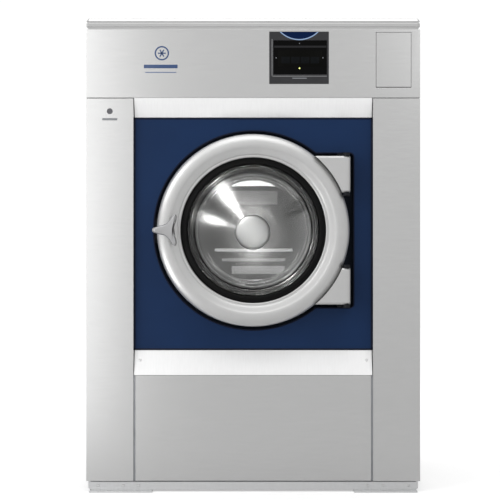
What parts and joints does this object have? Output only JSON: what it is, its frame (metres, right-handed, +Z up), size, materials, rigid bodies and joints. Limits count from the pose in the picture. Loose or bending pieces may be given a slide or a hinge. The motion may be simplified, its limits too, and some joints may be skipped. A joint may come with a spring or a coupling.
{
  "type": "washer extractor",
  "caption": "Free-standing front-loading laundry machine: sprung tub, belt-driven drum, hinged glass door with rotary handle, dispenser flap, control display.",
  "frame": {"origin": "on the floor, under the middle of the machine's bounding box", "axes": "+Z up, -Y is the side with the door, +X to the right seen from the front"},
  "size_m": [1.02, 1.14, 1.446],
  "materials": {
    "stainless": "brushed",
    "lid_steel": "brushed",
    "rear_steel": "plain mill finish",
    "trim_steel": "bright, satin",
    "blue_paint": "powder coat",
    "edging_rubber": "matte",
    "frame_paint": "powder coat",
    "bezel_plastic": "satin",
    "screen": "glossy",
    "circuit_board": "solder mask",
    "badge_paint": "printed plate",
    "dispenser_plastic": "moulded",
    "pin_steel": "ground",
    "valve_plastic": "moulded",
    "hose_rubber": "matte",
    "pipe_plastic": "moulded",
    "inverter_paint": "powder coat",
    "switch_plastic": "moulded",
    "switch_red": "moulded",
    "damper_paint": "satin",
    "spring_steel": "phosphated",
    "tub_steel": "satin",
    "cast_weight": "as cast",
    "motor_paint": "painted",
    "belt_rubber": "matte",
    "drum_steel": "polished",
    "ring_alloy": "silver lacquer",
    "bracket_paint": "satin",
    "lock_plastic": "moulded",
    "bowl_glass": "clear",
    "seal_rubber": "satin"
  },
  "bodies": {
    "root": {"foot_plates": "frame_paint", "base_frame": "frame_paint", "cabinet_frame": "frame_paint", "front_plinth": "stainless", "front_screws": "stainless", "left_column": "stainless", "right_column": "stainless", "left_side_panel": "stainless", "right_side_panel": "stainless", "rear_panel": "rear_steel", "rear_service_cover": "rear_steel", "top_panel": "lid_steel", "control_fascia": "stainless", "upper_trim": "trim_steel", "lower_trim": "trim_steel", "door_panel": "blue_paint", "panel_edging": "edging_rubber", "service_panel": "stainless", "display_bezel": "bezel_plastic", "display_screen": "screen", "control_board": "circuit_board", "badge_plates": "badge_paint", "dispenser_box": "dispenser_plastic", "flap_pin": "pin_steel", "inlet_valves": "valve_plastic", "tub_hoses": "hose_rubber", "vent_pipe": "pipe_plastic", "drive_inverter": "inverter_paint", "supply_inlet": "switch_plastic", "drain_pipe": "pipe_plastic", "damper_tubes": "damper_paint", "suspension_springs": "spring_steel"},
    "tub_unit": {"damper_rods": "pin_steel", "tub_cradle": "frame_paint", "outer_tub": "tub_steel", "tub_front": "tub_steel", "tub_back": "tub_steel", "counterweights": "cast_weight", "heater_elements": "tub_steel", "bearing_housing": "cast_weight", "shaft_bearings": "pin_steel", "drive_motor": "motor_paint", "drive_belt": "belt_rubber", "hinge_brackets": "bracket_paint", "lock_housing": "lock_plastic"},
    "drum": {"drum_shell": "drum_steel", "drum_back": "drum_steel", "drum_lifters": "drum_steel", "drum_shaft": "cast_weight", "drum_pulley": "cast_weight"},
    "motor": {"motor_rotor": "pin_steel"},
    "door": {"door_ring": "ring_alloy", "door_glass": "bowl_glass", "door_seal": "seal_rubber", "hinge_arms": "ring_alloy"},
    "handle": {"door_handle": "ring_alloy"},
    "bolt": {"lock_bolt": "pin_steel"},
    "flap": {"dispenser_flap": "stainless"},
    "switch": {"isolator_knob": "switch_red"},
    "drain_valve": {"drain_disc": "pin_steel"}
  },
  "joints": [
    {"name": "tub_bounce", "type": "slide", "parent": "root", "child": "tub_unit", "axis": [0, 0, 1], "range_m": [-0.008, 0.006], "stiffness_N_per_m": 154000, "springref_m": 0.02761, "deforming": ["suspension_springs", "tub_hoses"]},
    {"name": "door_swing", "type": "hinge", "parent": "tub_unit", "child": "door", "pos_m": [0.283, -0.517, 0.798], "axis": [0, 0, 1], "range_deg": [0, 170]},
    {"name": "handle_turn", "type": "hinge", "parent": "door", "child": "handle", "pos_m": [-0.257, -0.5, 0.798], "axis": [0, 1, 0], "range_deg": [0, 90]},
    {"name": "bolt_slide", "type": "slide", "parent": "tub_unit", "child": "bolt", "axis": [1, 0, 0], "range_m": [0, 0.022]},
    {"name": "drum_spin", "type": "hinge", "parent": "tub_unit", "child": "drum", "pos_m": [0, 0, 0.798], "axis": [0, 1, 0], "continuous": true},
    {"name": "motor_spin", "type": "hinge", "parent": "tub_unit", "child": "motor", "pos_m": [0, 0.4, 0.209], "axis": [0, 1, 0], "continuous": true},
    {"name": "flap_swing", "type": "hinge", "parent": "root", "child": "flap", "pos_m": [0.429, -0.476, 1.24], "axis": [1, 0, 0], "range_deg": [0, 75]},
    {"name": "switch_turn", "type": "hinge", "parent": "root", "child": "switch", "pos_m": [0.36, 0.52, 1.2], "axis": [0, 1, 0], "range_deg": [0, 90]},
    {"name": "drain_turn", "type": "hinge", "parent": "root", "child": "drain_valve", "pos_m": [-0.2, 0.04, 0.17], "axis": [0, 0, 1], "range_deg": [0, 90]}
  ],
  "couplings": [
    {"joint": "motor_spin", "follows": "drum_spin", "ratio": 5.5556}
  ]
}
